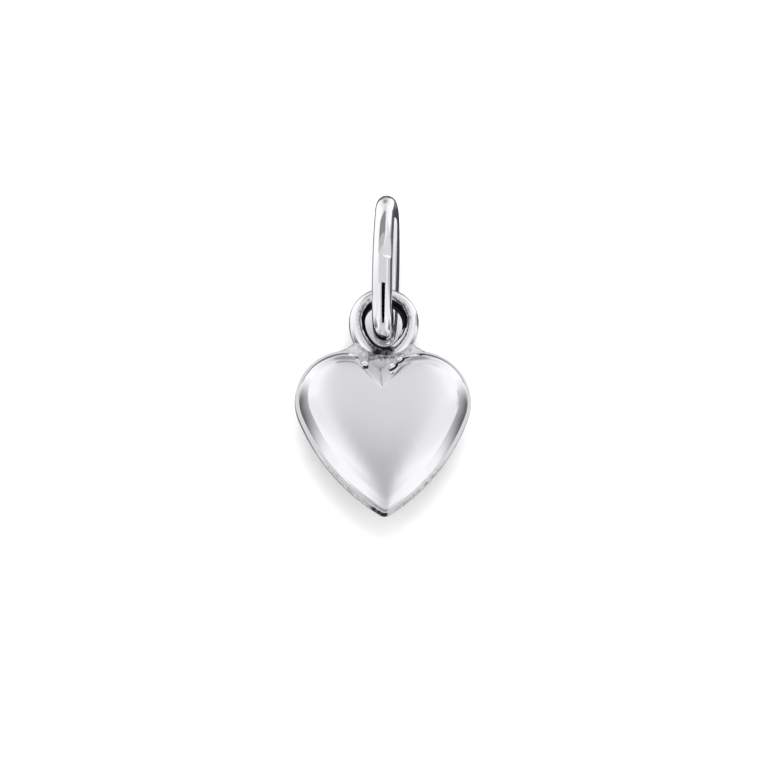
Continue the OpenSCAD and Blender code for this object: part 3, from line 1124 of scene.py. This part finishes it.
class StudioSky(NodeWork):
    """The light round the pendant, by direction: bright boxes, dark gaps and a pale plain view.

    Elevation and azimuth are in degrees. Azimuth is 0 in front and grows to the right, and the swing is
    the azimuth without its sign.
    """

    # How a panel's place round the pendant is measured, its lowest and highest elevation, how soft its
    # edges are there, where it begins and where it is full on the way round, and its brightness
    panels = (
        ("swing", -12, 14, 9, 20, 40, 0.9),
        ("swing", 18, 50, 5, 60, 84, 1.12),
        ("azimuth", 6, 26, 3, 60, 68, 0.6),
        ("azimuth", 4, 28, 3, 94, 104, 0.12),
        ("swing", -60, -26, 4, 126, 142, 0.42),
        ("swing", -30, -2, 4, 164, 170, 0.3),
        ("swing", -2, 66, 12, 138, 152, 0.18),
        ("swing", -2, 28, 8, 126, 142, 0.2),
    )

    def __init__(self, world):
        world.use_nodes = True
        super().__init__(world.node_tree)
        self.nodes.clear()
        place = self.add("ShaderNodeTexCoord").outputs["Generated"]
        parts = self.add("ShaderNodeSeparateXYZ", {"Vector": place}).outputs
        front = self.math("MULTIPLY", parts["Y"], -1.0)
        self.azimuth = self.degrees(self.math("ARCTAN2", parts["X"], front))
        self.elevation = self.degrees(self.math("ARCSINE", parts["Z"]))
        self.swing = self.math("ABSOLUTE", self.azimuth)

    def degrees(self, value):
        return self.math("MULTIPLY", value, 180 / math.pi)

    def panel(self, base, turn, low, high, soft, start, full, brightness):
        """The base with a panel laid over it."""
        rise = self.step(self.elevation, low - soft, low + soft)
        fall = self.step(self.elevation, high - soft, high + soft, 1.0, 0.0)
        mask = self.math("MULTIPLY", self.math("MULTIPLY", rise, fall), self.step(turn, start, full))
        return self.mix(mask, base, brightness)

    def room(self):
        """A pale room with its panels: dimmer in front, high up and low down, and dark straight above."""
        below = self.step(self.swing, 8, 38, 0.5, 1.06)
        lowest = self.step(self.swing, 14, 68, 0.54, 1.04)
        above = self.step(self.swing, 8, 46, 0.74, 1.04)
        light = self.mix(self.step(self.elevation, -16, -38), below, lowest)
        light = self.mix(self.step(self.elevation, -6, 18), light, above)
        light = self.mix(self.step(self.elevation, 50, 76), light, 0.78)
        light = self.mix(self.step(self.elevation, -44, -58), light, 0.7)
        for turn, low, high, soft, start, full, brightness in self.panels:
            light = self.panel(light, getattr(self, turn), low, high, soft, start, full, brightness)
        return self.mix(self.step(self.elevation, 72, 82), light, 0.34)

    def finish(self, reflected, seen, even_light):
        """Reflections see the room, the camera a plain pale tone and dull surfaces an even light."""
        paths = self.add("ShaderNodeLightPath").outputs
        pattern = self.add("ShaderNodeBackground", {"Color": reflected}).outputs[0]
        plain = self.add("ShaderNodeBackground", {"Color": (*seen, 1.0)}).outputs[0]
        even = self.add("ShaderNodeBackground", {"Color": (1.0, 1.0, 1.0, 1.0), "Strength": even_light})
        light = self.either(paths["Is Diffuse Ray"], pattern, even.outputs[0])
        self.add("ShaderNodeOutputWorld", {"Surface": self.either(paths["Is Camera Ray"], light, plain)})


class PENDANT_OT_studio(bpy.types.Operator):
    """Set up the pale floor, the backdrop, the soft light and the camera"""

    bl_idname = "pendant.studio"
    bl_label = "Studio"

    # Half the width of the floor and of the backdrop, and the height of the backdrop's top edge over the
    # origin, in millimetres
    floor_half = 2000.0
    wall_half = 200.0
    wall_top = 120.0
    # Cards beside the pendant: distance to each side, front, back, bottom and top, in millimetres
    side_card = (12.0, -4.0, 26.0, -23.0, -6.0)
    # Cards in front of it: name, brightness, place on Y, left, right, bottom and top
    front_cards = (
        ("black_strip", 0.0, -3.3, -0.7, 0.34, -9.7, -5.42),
        ("gray_card", 0.28, -6.0, -6.0, 0.9, 0.6, 4.2),
        ("light_card", 0.52, -6.0, -6.0, 0.9, -1.2, 0.6),
        ("pale_card", 0.7, -6.0, -4.5, 3.5, -5.2, -1.2),
        ("flat_card", 0.76, -6.0, 3.5, 9.0, -2.0, 3.0),
    )
    # A dark card behind it on the right, which darkens the back arm of the bail
    dark_card = (3.0, 1.0, 6.5, -7.6, 2.0)
    dark_card_brightness = 0.07

    def execute(self, context):
        studio = context.scene.pendant_studio
        self.sheets(studio)
        self.cards()
        self.sky(context.scene, studio)
        self.lamp(context.scene, studio)
        self.camera(context.scene, studio)
        context.scene.view_settings.view_transform = "Standard"
        return {"FINISHED"}

    def sheets(self, studio):
        pale = bpy.data.materials.new("Pale floor")
        pale.use_nodes = True
        shader = pale.node_tree.nodes["Principled BSDF"]
        shader.inputs["Base Color"].default_value = (*studio.floor_color, 1.0)
        shader.inputs["Roughness"].default_value = 0.9
        z, half = studio.floor_z / MM, self.floor_half
        sheet_object("floor", [(-half, -half, z), (half, -half, z), (half, half, z), (-half, half, z)], pale)
        white = one_way_white("White backdrop", studio.wall_color)
        y, side = studio.wall_y / MM, self.wall_half
        front_sheet("backdrop", y, -side, side, z, self.wall_top, white)

    def cards(self):
        """Small cards that the camera doesn't see and that only the polished metal shows."""
        dim = graded_card("Dim card")
        away, *extent = self.side_card
        mirrored_only(side_sheet("left_card", -away, *extent, dim))
        mirrored_only(side_sheet("right_card", away, *extent, dim))
        for name, brightness, *extent in self.front_cards:
            mirrored_only(front_sheet(name, *extent, plain_card(name, brightness)))
        dark = plain_card("dark_card", self.dark_card_brightness)
        mirrored_only(side_sheet("dark_card", *self.dark_card, dark))

    @staticmethod
    def sky(scene, studio):
        scene.world = bpy.data.worlds.new("Studio sky")
        sky = StudioSky(scene.world)
        sky.finish(sky.room(), studio.view_color, studio.even_light)

    @staticmethod
    def lamp(scene, studio):
        data = bpy.data.lights.new("Soft box", "AREA")
        data.shape = "DISK"
        data.size = studio.lamp_size
        data.energy = studio.lamp_power
        lamp = bpy.data.objects.new("Soft box", data)
        scene.collection.objects.link(lamp)
        lamp.location = studio.lamp_place
        toward = Vector(studio.lamp_aim) - lamp.location
        lamp.rotation_euler = toward.to_track_quat("-Z", "Y").to_euler()
        lamp.visible_camera = False
        lamp.visible_glossy = False

    @staticmethod
    def camera(scene, studio):
        data = bpy.data.cameras.new("Camera")
        data.lens = studio.lens
        data.sensor_width = 36.0
        data.clip_start = 0.005
        data.clip_end = 10.0
        camera = bpy.data.objects.new("Camera", data)
        scene.collection.objects.link(camera)
        a, e = studio.azimuth, studio.elevation
        toward = Vector((math.sin(a) * math.cos(e), -math.cos(a) * math.cos(e), math.sin(e)))
        camera.location = Vector(studio.aim) + toward * studio.distance
        camera.rotation_euler = (-toward).to_track_quat("-Z", "Y").to_euler()
        scene.camera = camera


# Add-on


class PENDANT_PT_panel(bpy.types.Panel):
    """Sizes, finishes and the steps that build the pendant"""

    bl_idname = "PENDANT_PT_panel"
    bl_label = "Heart pendant"
    bl_space_type = "VIEW_3D"
    bl_region_type = "UI"
    bl_category = "Pendant"

    def draw(self, context):
        for operator in OPERATORS:
            self.layout.operator(operator.bl_idname)
        for name, label, kind in SETTINGS:
            box = self.layout.box()
            box.label(text=label)
            for setting in kind.__annotations__:
                box.prop(getattr(context.scene, name), setting)


OPERATORS = (
    PENDANT_OT_bail,
    PENDANT_OT_ring,
    PENDANT_OT_heart,
    PENDANT_OT_solder,
    PENDANT_OT_studio,
)
# Name on the scene, label in the panel and kind of each group of settings
SETTINGS = (
    ("pendant_heart", "Heart", HeartSettings),
    ("pendant_ring", "Ring", RingSettings),
    ("pendant_bail", "Bail", BailSettings),
    ("pendant_solder", "Solder", SolderSettings),
    ("pendant_silver", "Silver", SilverSettings),
    ("pendant_studio", "Studio", StudioSettings),
)


def register():
    for operator in OPERATORS:
        bpy.utils.register_class(operator)
    for name, label, kind in SETTINGS:
        bpy.utils.register_class(kind)
        setattr(bpy.types.Scene, name, PointerProperty(name=label, type=kind))
    bpy.utils.register_class(PENDANT_PT_panel)


def unregister():
    bpy.utils.unregister_class(PENDANT_PT_panel)
    for name, label, kind in reversed(SETTINGS):
        delattr(bpy.types.Scene, name)
        bpy.utils.unregister_class(kind)
    for operator in reversed(OPERATORS):
        bpy.utils.unregister_class(operator)


def write_sizes():
    def plain(box):
        return [[float(value) for value in corner] for corner in box]


def main():
    register()
    bpy.ops.pendant.bail()
    bpy.ops.pendant.ring()
    bpy.ops.pendant.heart()
    bpy.ops.pendant.solder()
    bpy.ops.pendant.studio()
    write_sizes()


if __name__ == "__main__":
    main()
